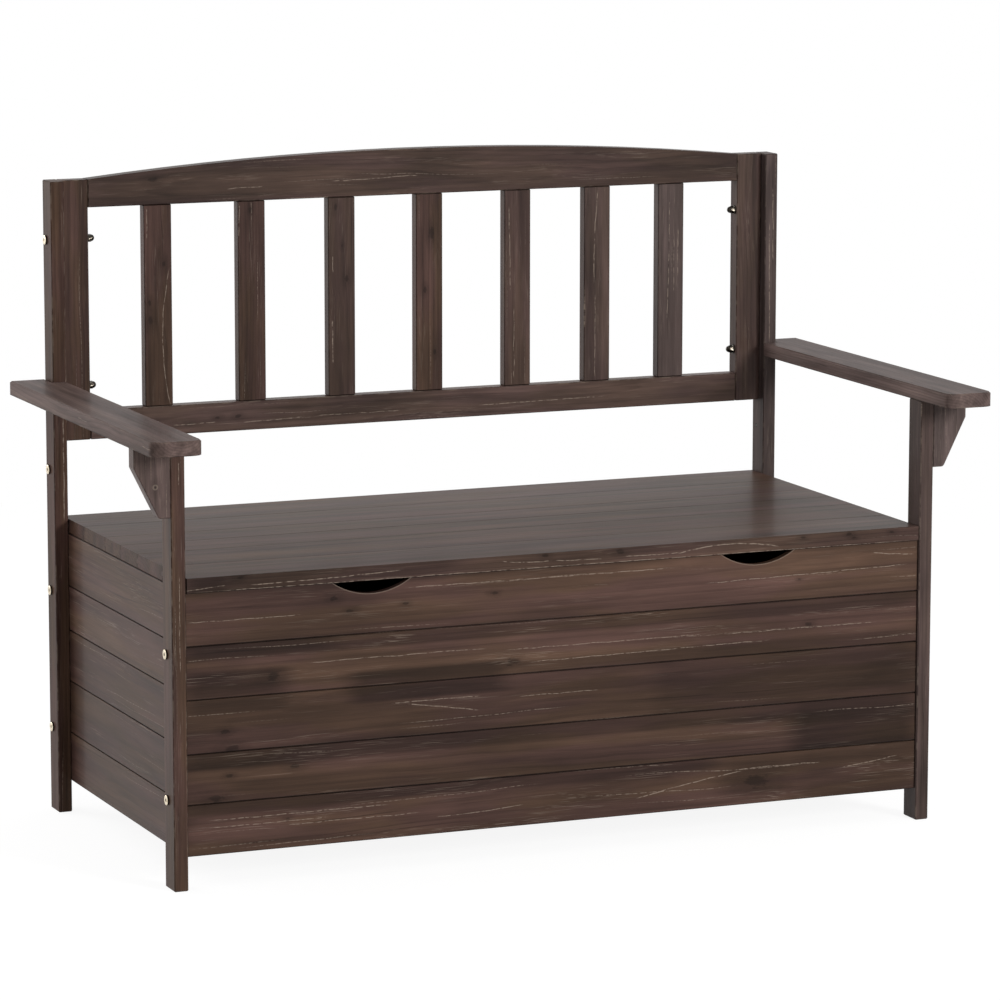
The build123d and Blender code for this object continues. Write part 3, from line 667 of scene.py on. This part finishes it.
def marked_tone(tree, name, place, flank, at_edge, tone, low):
    """The board's tone, times every patch and every knot."""
    patches = [(place, 1.0, *row) for row in PATCHES.get(name, [])]
    patches += [(flank, at_edge, *row) for row in EDGE_PATCHES.get(name, [])]
    for spot, where, x0, x1, z0, z1, share in patches:
        corners = {"Low": (x0 / MM, z0 / MM, -PATCH_DEPTH), "High": (x1 / MM, z1 / MM, PATCH_DEPTH)}
        mask = use_group(tree, PATCH, Place=spot, Soft=PATCH_SOFT, **corners)[0]
        tone = tint(tree, tone, calc(tree, "MULTIPLY", mask, where), share * PATCH_GAIN)
    knots = [(x / MM, z / MM, float(low[2]), radius) for x, z, radius in KNOTS.get(name, [])]
    knots += [(x / MM, float(low[1]), z / MM, radius) for x, z, radius in EDGE_KNOTS.get(name, [])]
    for *centre, radius in knots:
        mask = use_group(tree, KNOT, Place=place, Centre=centre, Radius=radius / MM)[0]
        tone = tint(tree, tone, mask, -KNOT_DARK)
    return tone


def marked_bare(tree, name, place, flank, at_edge, low):
    """Where strokes and rims leave the wood bare."""
    bare = 0.0
    strokes = [(place, 1.0, row) for row in STROKES.get(name, [])]
    strokes += [(flank, at_edge, row) for row in EDGE_STROKES.get(name, [])]
    for spot, where, (x, z, reach, slope, bend, width) in strokes:
        shape = {"Reach": reach / MM, "Slope": slope, "Bend": bend, "Width": width * STROKE_WIDTH}
        mask = use_group(tree, STROKE, Place=spot, Start=(x / MM, z / MM, 0.0), **shape)[0]
        bare = rub(tree, bare, calc(tree, "MULTIPLY", mask, where), STROKE_BARE)
    for x, z, radius in RIMS.get(name, []):
        shape = {"Centre": (x, z, 0.0), "Radius": radius, "Front": float(low[2]), "Width": RIM_WIDTH}
        bare = rub(tree, bare, use_group(tree, RIM, Place=place, **shape)[0], RIM_BARE)
    return bare


def wood_material(name, seed):
    """The finish of one board: shared wood, with this board's place, tone, edges and marks."""
    low, high = board_limits(name)
    rng = np.random.default_rng(seed)
    material, tree, shader = new_material("wood_" + name)
    parts = split(tree, object_place(tree))
    along, across, through = (parts["XYZ".index(letter)] for letter in GRAIN[family(name)])
    place, flank = join(tree, along, across, through), join(tree, along, through, across)
    at_edge = fade(tree, calc(tree, "SUBTRACT", across, float(low[1])), *EDGE_SKIN)
    # The board's tone; on the brackets the raised tone is painted light
    tone = TONE_AND_LIGHT.get(name, 1.0) * rng.uniform(0.94, 1.06)
    tone = marked_tone(tree, name, place, flank, at_edge, tone, low)
    # Threads stop short of the ends, and some ends meet the next piece in a dark seam
    to_start = calc(tree, "SUBTRACT", along, float(low[0]))
    to_end = calc(tree, "SUBTRACT", float(high[0]), along)
    end_gap = calc(tree, "MINIMUM", to_start, to_end)
    threads = smooth(tree, end_gap, *THREAD_END, 0.0, of_kind(THREADS, name))
    if family(name) in END_SEAM:
        tone = calc(tree, "MULTIPLY", tone, smooth(tree, end_gap, *SEAM, SEAM_TONE, 1.0))
    # Dark joints, and worn edges that are partly a painted highlight
    corners = {"Low": tuple(low), "High": tuple(high)}
    joint = use_group(tree, EDGE, Place=place, Width=JOINT_WIDTH, **corners)[0]
    tone = tint(tree, tone, joint, -of_kind(DARK_EDGE, name))
    wear_and_highlight = use_group(tree, EDGE, Place=place, Width=WEAR_AND_HIGHLIGHT_WIDTH, **corners)[0]
    wear_and_highlight = calc(tree, "MULTIPLY", wear_and_highlight, of_kind(WEAR_AND_HIGHLIGHT, name))
    # The board's own place in the noise, and its pith to one side of its middle
    scale = 1.0 if family(name) in WIDE else NARROW_SCALE
    drift = rng.uniform(-8, 8, 3)
    moved = vector_calc(tree, "MULTIPLY_ADD", place, (scale,) * 3, tuple(drift))
    beside, below = rng.uniform(-0.05, 0.05), rng.choice([-1, 1]) * rng.uniform(0.03, 0.09)
    pith = (low + high) / 2 * scale + drift + np.array([0.0, beside, below])
    wood = use_group(
        tree, WOOD, Place=moved, Pith=tuple(pith), Tone=tone, Grey=GREY_SHEEN.get(name, 0.0),
        Figure=of_kind(FIGURE, name), Wear=wear_and_highlight, Streaks=float(rng.uniform(0.4, 1.0)),
        Threads=threads, Pale=marked_bare(tree, name, place, flank, at_edge, low),
    )
    bump = tree.nodes.new("ShaderNodeBump")
    relief = {"Strength": of_kind(BUMP, name), "Distance": BUMP_DEPTH, "Height": wood["Relief"]}
    fill_named(tree, bump, relief)
    fill_named(tree, shader, {
        "Base Color": wood["Colour"], "Roughness": wood["Roughness"], "Normal": bump.outputs[0],
        "Specular IOR Level": of_kind(SHINE, name), "Coat Weight": of_kind(COAT, name),
        "Coat Roughness": COAT_ROUGHNESS, "Coat IOR": COAT_IOR,
    })
    return material


for seed, name in enumerate(wooden):
    paint(name, wood_material(name, seed))
print("wood materials", len(wooden))

# %% [markdown]
# ## Metal fittings
#
# The bolt heads are pale brass, the cap nuts dark bronze, and the hinges and screws zinc-plated
# steel. One even colour would do for metal seen from afar. A plated metal is never quite even, though:
# it dulls and darkens in small cloudy spots, and a group shared by all three draws them.

# %% Metal materials
def make_tarnish():
    """A metal's colour and roughness, going from Bright to Dull in small clouds."""
    tree, put, out = new_group(
        "tarnish",
        [("Place", "Vector"), ("Bright", "Color"), ("Dull", "Color"), ("Polish", "Float")],
        [("Colour", "Color"), ("Roughness", "Float")],
    )
    spots = smooth(tree, noise(tree, put["Place"], (260.0, 260.0, 260.0), 4.0, 0.6), 0.42, 0.68)
    grit = noise(tree, put["Place"], (1900.0, 1900.0, 1900.0), 2.0)
    tree.links.new(blend(tree, spots, put["Bright"], put["Dull"]), out["Colour"])
    rough = calc(tree, "MULTIPLY_ADD", spots, 0.12, put["Polish"])
    tree.links.new(calc(tree, "MULTIPLY_ADD", grit, 0.05, rough), out["Roughness"])
    return tree


TARNISH = make_tarnish()


def metal_material(name, bright, dull, polish):
    """A plated metal, bright where it is clean and dull in its spots."""
    material, tree, shader = new_material(name)
    sides = {"Bright": (*bright, 1), "Dull": (*dull, 1), "Polish": polish}
    finish = use_group(tree, TARNISH, Place=object_place(tree), **sides)
    fill_named(tree, shader, {
        "Base Color": finish["Colour"], "Roughness": finish["Roughness"], "Metallic": 1.0})
    return material


BRASS = metal_material("pale_brass", (0.80, 0.70, 0.54), (0.56, 0.45, 0.31), 0.24)
DARK_BRONZE_AND_SHADE = metal_material("dark_bronze_and_bolt_shade", (0.046, 0.041, 0.033), (0.018, 0.015, 0.013), 0.05)
ZINC = metal_material("plated_zinc", (0.56, 0.56, 0.54), (0.46, 0.46, 0.45), 0.30)
for name in ("arm_hanger_bolts", "hinge_fixed_leaves", "hinge_lid_leaves", "hinge_pins"):
    paint(name, ZINC)
print("metals", [material.name for material in (BRASS, DARK_BRONZE_AND_SHADE, ZINC)])

# %% [markdown]
# ## Where the fittings sit
#
# The CAD model draws bolts, nuts and screws with a few flat sides. They are turned parts, so smooth
# ones take their place. Their places could be typed in, but the CAD mesh holds them already: points that
# share a triangle belong to one fitting, and the wider end of a fitting is its head.

# %% Finding the fittings
# Points this close to an end, in metres, belong to it
NEAR = 2e-4


def loose_solids(name):
    """Splits a node's mesh: every point takes the lowest number in its triangles until none changes."""
    points = mesh_points(name)
    mesh = nodes[name].data
    mesh.calc_loop_triangles()
    corners = np.empty(len(mesh.loop_triangles) * 3, dtype=np.int32)
    mesh.loop_triangles.foreach_get("vertices", corners)
    merged = np.unique(np.round(points, 6), axis=0, return_inverse=True)[1].ravel()
    triangles = merged[corners.reshape(-1, 3)]
    label = np.arange(merged.max() + 1)
    while True:
        lower = label.copy()
        np.minimum.at(lower, triangles, label[triangles].min(axis=1)[:, None])
        if (lower == label).all():
            break
        label = lower
    groups = label[merged]
    return [points[groups == number] for number in np.unique(groups)]


def stand(points, axis):
    """Head, direction, distances from the head and radii of a fitting that lies along an axis."""
    middle = (points.min(0) + points.max(0)) / 2
    along = points[:, axis] - middle[axis]
    radius = np.linalg.norm(np.delete(points - middle, axis, 1), axis=1)
    reach = along.max()
    ends = [radius[along * side > reach - NEAR].max() for side in (-1, 1)]
    side = -1 if ends[0] > ends[1] else 1
    direction = np.zeros(3)
    direction[axis] = -side
    return middle - direction * reach, direction, reach - along * side, radius


print("bolts", len(loose_solids("frame_bolts")), "nuts", len(loose_solids("cap_nuts")))

# %% [markdown]
# ## Turning a profile
#
# A lathe makes these parts by turning a profile. Blender's cylinders and a boolean cut for each recess
# could do it too, but one grid makes heads and recesses alike. Ring i lies at a distance d_i from the head
# and has the radius r_i(angle). Where r does not depend on the angle the ring is round. A hexagon has
# r = flat / cos(angle), with the angle folded into the sixth that it lies in, and a cross has the
# smaller of arm / cos(angle) and half-width / sin(angle).

# %% Turned parts
SIDES = 48
ANGLES = np.arange(SIDES) * 2 * np.pi / SIDES
SHARP_ANGLE = math.radians(35)


def hexagon(flat, turn):
    """r = flat / cos(angle - turn), folded into sixths: a hexagon whose flats lie at that distance."""
    return flat / np.cos((ANGLES - turn + np.pi / 6) % (np.pi / 3) - np.pi / 6)


def cross(arm, half_width):
    """r = the smaller of arm / cos(angle) and half_width / sin(angle), folded into quarters."""
    folded = abs((ANGLES + np.pi / 4) % (np.pi / 2) - np.pi / 4)
    return np.minimum(arm / np.cos(folded), half_width / np.maximum(np.sin(folded), 1e-6))


def turned_points(rings, head, direction):
    """Points of one part: a pole, the rings from the head to the tip, and a pole.

    A ring's point is head + d * direction + r * (cos(angle) * first + sin(angle) * second)."""
    first = np.roll(direction, 1)
    second = np.cross(direction, first)
    away = np.array([distance for distance, radius in rings])[:, None, None]
    radius = np.stack([np.broadcast_to(radius, SIDES) for distance, radius in rings])[:, :, None]
    round_way = np.cos(ANGLES)[:, None] * first + np.sin(ANGLES)[:, None] * second
    grid = head + away * direction + radius * round_way
    poles = head + np.array([rings[0][0], rings[-1][0]])[:, None] * direction
    return np.concatenate([poles[:1], grid.reshape(-1, 3), poles[1:]])


def turned_faces(ring_count, offset):
    """Triangles at both poles and quads between the rings, all facing outwards."""
    here = np.arange(SIDES)
    after = (here + 1) % SIDES
    base = 1 + offset
    last = base + (ring_count - 1) * SIDES
    start = np.stack([np.full(SIDES, offset), base + after, base + here], 1)
    close = np.stack([np.full(SIDES, last + SIDES), last + here, last + after], 1)
    rows = base + np.arange(ring_count - 1)[:, None] * SIDES
    quads = np.stack([rows + here, rows + after, rows + after + SIDES, rows + here + SIDES], -1)
    return start.tolist() + quads.reshape(-1, 4).tolist() + close.tolist()


def put_in_scene(name, data):
    """A new object that shows the given data."""
    made = bpy.data.objects.new(name, data)
    bpy.context.scene.collection.objects.link(made)
    return made


def turned_set(name, parts, materials, first_bands=0, last_bands=0):
    """One object of all parts, given by rings, head and direction.

    The bands of faces at both ends, as many as asked for, take the second material."""
    points, faces, second = [], [], []
    for rings, head, direction in parts:
        faces += turned_faces(len(rings), sum(len(block) for block in points))
        band = np.arange(len(rings) + 1)
        second.append(np.repeat((band < first_bands) | (band > len(rings) - last_bands), SIDES))
        points.append(turned_points(rings, head, direction))
    mesh = bpy.data.meshes.new(name)
    mesh.from_pydata(np.concatenate(points).tolist(), [], faces)
    mesh.polygons.foreach_set("use_smooth", np.ones(len(mesh.polygons), dtype=bool))
    mesh.set_sharp_from_angle(angle=SHARP_ANGLE)
    for material in materials:
        mesh.materials.append(material)
    mesh.polygons.foreach_set("material_index", np.concatenate(second).astype(np.int32))
    return put_in_scene(name, mesh)


def rounded(radius, edge, start, steps=5):
    """A quarter-round edge: the radius grows by edge while the distance grows by edge."""
    turn = np.linspace(0, np.pi / 2, steps)
    return list(zip(start + edge * (1 - np.cos(turn)), radius - edge + edge * np.sin(turn)))


print("rings of", SIDES, "points")

# %% [markdown]
# ## Bolts and cap nuts
#
# The frame's bolts have flat heads with a hexagon socket, and domed nuts cap them. Their sizes could be
# looked up in a catalogue. Here each profile takes its main sizes from the CAD fitting that it stands
# for: the widest radius, where the head ends and where the tip is. Only the small roundings and the
# recess are added.

# %% Bolts and cap nuts
KEY_FLAT, KEY_DEPTH, KEY_LIP = 0.0020, 0.0018, 0.0003
HEAD_ROUND, TIP_CHAMFER = 0.0009, 0.0006
FLANGE_ROUND, FLANGE_STEP, NUT_CHAMFER = 0.0006, 0.0002, 0.0007
NUT_TURN, DOME_END = -math.radians(15), math.radians(86)


def bolt_rings(away, radius, turn):
    """A flat head with a hexagon socket and a rounded edge, then the shank."""
    head, tip = radius.max(), away.max()
    seat = away[radius > 0.9 * head].max()
    shank = radius[away > tip - NEAR].max()
    key, lip = hexagon(KEY_FLAT, turn), hexagon(KEY_FLAT + KEY_LIP, turn)
    socket = [(KEY_DEPTH, key), (KEY_LIP, key), (0.0, lip)]
    rest = [(seat, head), (seat, shank), (tip - TIP_CHAMFER, shank), (tip, shank - TIP_CHAMFER)]
    return socket + rounded(head, HEAD_ROUND, 0.0) + rest


def nut_rings(away, radius, turn):
    """A round flange on the wood, a hexagon above it with one flat tipped up, and a closed dome."""
    flange, top = radius.max(), away.max()
    flange_top = away[radius > 0.97 * flange].max()
    above = away > flange_top + NEAR
    corner = radius[above].max()
    shoulder = away[above & (radius > 0.97 * corner)].max()
    flat = corner * math.cos(math.pi / 6)
    sides = hexagon(flat, turn)
    rise = np.linspace(0, DOME_END, 9)
    dome = list(zip(shoulder + (top - shoulder) * np.sin(rise), flat * np.cos(rise)))
    rim = [(0.0, flange), (flange_top - FLANGE_ROUND, flange)]
    rim += [(flange_top - FLANGE_STEP, flange - FLANGE_STEP), (flange_top, flange - FLANGE_ROUND)]
    chamfer = [(shoulder - NUT_CHAMFER, sides), (shoulder, np.minimum(sides, flat * 1.03))]
    return rim + [(flange_top, sides)] + chamfer + dome


# The bolts' dark bands take the dark bronze: on the socket's floor and lower wall and on the head's side wall
# it is painted shade, on the shank a dark finish
for name, node, rings_of, turn, materials, bands, slot in (
    ("socket_bolts", "frame_bolts", bolt_rings, 0.0, [BRASS, DARK_BRONZE_AND_SHADE], (2, 6), "brass"),
    ("domed_nuts", "cap_nuts", nut_rings, NUT_TURN, [DARK_BRONZE_AND_SHADE], (0, 0), "bronze"),
):
    placed = [stand(points, 0) for points in loose_solids(node)]
    parts = [(rings_of(away, radius, turn * way[0]), head, way) for head, way, away, radius in placed]
    made = turned_set(name, parts, materials, *bands)
    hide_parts(node)
    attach(made, "frame")
    print(name, len(placed), "pieces", len(made.data.polygons), "faces")

# %% [markdown]
# ## Screws
#
# A wood screw's head sinks flush with the board, and its cross recess narrows as it goes down. Threads
# could be modelled too, but they sit unseen in the wood. So the recess is two crosses, a small one at
# its bottom and a wide one at its rim, and the shank is plain down to the point.

# %% Screws
HEAD_LIP, POINT_LENGTH, POINT_RADIUS = 0.0002, 0.004, 0.0002
RECESS_DEPTH, RECESS_LOW, RECESS_RIM = 0.0012, (0.0010, 0.0003), (0.0021, 0.0005)


def screw_rings(away, radius):
    """A countersunk head with a cross recess, and a shank that ends in a point."""
    head, tip = radius.max(), away.max()
    shank = radius[away > tip - NEAR].max()
    neck = away[(away > 1e-4) & (away < tip / 2)].max()
    recess = [(RECESS_DEPTH, cross(*RECESS_LOW)), (0.0, cross(*RECESS_RIM))]
    cone = [(0.0, head - HEAD_LIP), (HEAD_LIP, head), (neck, shank)]
    return recess + cone + [(tip - POINT_LENGTH, shank), (tip, POINT_RADIUS)]


for name, node, body in (
    ("frame_cross_screws", "frame_screws", "frame"),
    ("lid_cross_screws", "lid_screws", "lid"),
):
    parts = []
    for points in loose_solids(node):
        head, way, away, radius = stand(points, int(np.argmax(points.max(0) - points.min(0))))
        parts.append((screw_rings(away, radius), head, way))
    made = turned_set(name, parts, [ZINC])
    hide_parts(node)
    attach(made, body)
    print(name, len(parts), "pieces", len(made.data.polygons), "faces")

# %% [markdown]
# ## Dowels
#
# The dowels are hidden beech pegs, left bare. They could share the boards' wood, but beech has no dark
# rings and isn't stained. Its short flecks are a fine noise, several times longer than it is wide.

# %% Beech
BEECH, BEECH_FLECK = (0.46, 0.29, 0.16, 1), (0.33, 0.19, 0.10, 1)


def beech_material():
    """Bare beech: a warm pale brown with short dark flecks."""
    material, tree, shader = new_material("bare_beech")
    fleck = smooth(tree, noise(tree, object_place(tree), (160.0, 900.0, 900.0), 3.0), 0.40, 0.66)
    rough = calc(tree, "MULTIPLY_ADD", fleck, 0.15, 0.55)
    fill_named(tree, shader, {"Base Color": blend(tree, fleck, BEECH, BEECH_FLECK), "Roughness": rough})
    return material


paint("dowels", beech_material())
print("dowels painted")

# %% [markdown]
# ## The camera
#
# A camera could be moved by eye until the picture fits. The photograph's straight edges give it more
# closely: where it stood, how far it turned to the right and tipped down, and its focal length as a
# multiple of the picture's width.

# %% Camera
CAMERA_PLACE = (-2.3683, -5.6754, 1.4382)
TURN, TIP, LEAN = 0.3957, 0.1645, -0.0009
SENSOR_WIDTH, FOCAL_WIDTHS = 36.0, 4.8797


def aim(turn, tip, lean):
    """The camera's rotation: turned right from +Y, tipped down, and leaning about its own axis."""
    ahead = Vector((math.sin(turn) * math.cos(tip), math.cos(turn) * math.cos(tip), -math.sin(tip)))
    right = Vector((math.cos(turn), -math.sin(turn), 0.0))
    down = ahead.cross(right)
    across = right * math.cos(lean) + down * math.sin(lean)
    below = down * math.cos(lean) - right * math.sin(lean)
    return Matrix((across, -below, -ahead)).transposed().to_4x4()


camera = put_in_scene("camera", bpy.data.cameras.new("camera"))
camera.matrix_world = Matrix.Translation(CAMERA_PLACE) @ aim(TURN, TIP, LEAN)
camera.data.sensor_width = SENSOR_WIDTH
camera.data.lens = FOCAL_WIDTHS * SENSOR_WIDTH
camera.data.clip_end = 60.0
bpy.context.scene.camera = camera
print("camera lens in mm", round(camera.data.lens, 1))

# %% [markdown]
# ## Studio
#
# The photograph was taken in a white surround. An even white world would give it, but no side of the
# bench would then be lighter than another. So the camera, and every reflection in wood or metal, sees
# plain white, while the soft light on the bench comes a little more from the left and from above. A large
# lamp stands at the right front. A wider and weaker one behind on the left keeps the back from going dark.

# %% Surround and lamps
def white_rays(tree):
    """1 for rays that should meet plain white: from the camera, in a reflection or through glass."""
    kind = tree.nodes.new("ShaderNodeLightPath").outputs
    both = calc(tree, "MAXIMUM", kind["Is Camera Ray"], kind["Is Glossy Ray"])
    return calc(tree, "MAXIMUM", both, kind["Is Transmission Ray"])


def surround(even, left, above):
    """A white world with even soft light, and some more of it from the left and from above."""
    world = bpy.data.worlds.new("surround")
    bpy.context.scene.world = world
    world.use_nodes = True
    tree = world.node_tree
    sky = tree.nodes["Background"]
    sky.inputs["Color"].default_value = (1.0, 1.0, 1.0, 1.0)
    toward = split(tree, step(tree, "ShaderNodeTexCoord", out=0))
    glow = calc(tree, "ADD", even, smooth(tree, toward[0], -0.9, 0.1, left, 0.0))
    glow = calc(tree, "ADD", glow, smooth(tree, toward[2], 0.2, 0.9, 0.0, above))
    white = white_rays(tree)
    glow = calc(tree, "MULTIPLY", glow, calc(tree, "SUBTRACT", 1.0, white))
    tree.links.new(calc(tree, "ADD", glow, white), sky.inputs["Strength"])


def lamp(name, place, target, size, power):
    """A square soft lamp at place that faces target."""
    light = bpy.data.lights.new(name, "AREA")
    light.size = size
    light.energy = power
    item = put_in_scene(name, light)
    item.location = place
    item.rotation_euler = (Vector(target) - Vector(place)).to_track_quat("-Z", "Y").to_euler()


surround(even=0.42, left=0.15, above=0.04)
lamp("key_lamp", place=(2.3, -4.7, 2.1), target=(0, 0, 0.45), size=1.3, power=168)
lamp("back_lamp", place=(-3.0, 3.6, 1.5), target=(0, 0, 0.40), size=2.4, power=80)

# %% [markdown]
# ## Floor
#
# A floor of white paint alone would look too dark beside the surround, and its far edge would show. This
# one shows as plain white, so that it melts into the surround, but it keeps the bench's shadow. A share k
# of it stays paint, most under the bench and none far away. Where the light brings that paint to the
# value L, the white rest glows with the strength (1 - kL) / (1 - k), so that both together give 1.

# %% Floor
FLOOR_PAINT = (0.62, 0.62, 0.62, 1)


def floor_material(most, near, far, lit):
    """White paint and white glow; the paint's share falls from most at near to 0 at far metres."""
    material, tree, shader = new_material("pale_floor")
    fill_named(tree, shader, {"Base Color": FLOOR_PAINT, "Roughness": 0.8})
    share = smooth(tree, length(tree, object_place(tree)), near, far, most, 0.0)
    rest = calc(tree, "SUBTRACT", 1.0, share)
    made_up = calc(tree, "SUBTRACT", 1.0, calc(tree, "MULTIPLY", share, lit))
    glow = tree.nodes.new("ShaderNodeEmission")
    fill_named(tree, glow, {"Strength": calc(tree, "DIVIDE", made_up, rest)})
    seen = calc(tree, "MULTIPLY", white_rays(tree), rest)
    either = step(tree, "ShaderNodeMixShader", seen, shader.outputs[0], glow.outputs[0])
    tree.links.new(either, tree.nodes["Material Output"].inputs["Surface"])
    return material


FLOOR_REACH = 12.0
floor_corners = [(x * FLOOR_REACH, y * FLOOR_REACH, 0) for x, y in ((-1, -1), (1, -1), (1, 1), (-1, 1))]
floor_mesh = bpy.data.meshes.new("floor")
floor_mesh.from_pydata(floor_corners, [], [(0, 1, 2, 3)])
floor_mesh.materials.append(floor_material(most=0.30, near=0.9, far=2.6, lit=0.34))
floor = put_in_scene("floor", floor_mesh)
bpy.context.scene.view_settings.view_transform = "Standard"
print("floor", FLOOR_REACH * 2, "m wide")
